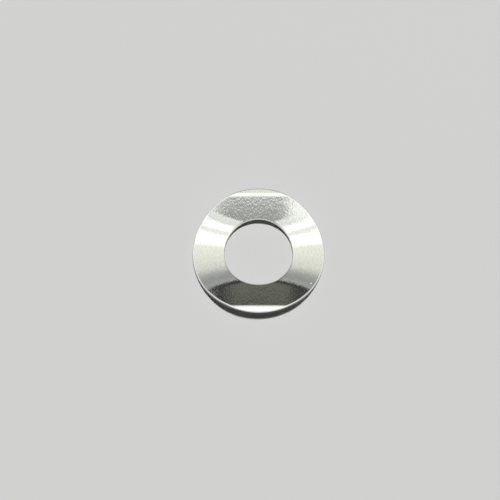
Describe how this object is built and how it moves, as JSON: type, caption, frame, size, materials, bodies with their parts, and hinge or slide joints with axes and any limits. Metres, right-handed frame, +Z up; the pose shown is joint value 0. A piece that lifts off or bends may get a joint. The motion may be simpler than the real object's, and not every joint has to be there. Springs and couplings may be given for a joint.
{
  "type": "wave washer",
  "caption": "Thin spring-steel ring pressed into a shallow wave, with a round bore, a straight trough it rests on and straight crests that a screw head bears on.",
  "frame": {"origin": "on the bore axis, at the level of the surface that the trough rests on", "axes": "+Z up along the bore axis, from the trough to the crests; +X along the straight trough and crests; +Y across the wave"},
  "size_m": [0.012, 0.0116, 0.0016],
  "materials": {
    "spring_steel": "bright-rolled stainless spring steel with a fine grain, nearly mirror-like"
  },
  "bodies": {
    "root": {"wave_washer": "spring_steel"}
  },
  "joints": []
}
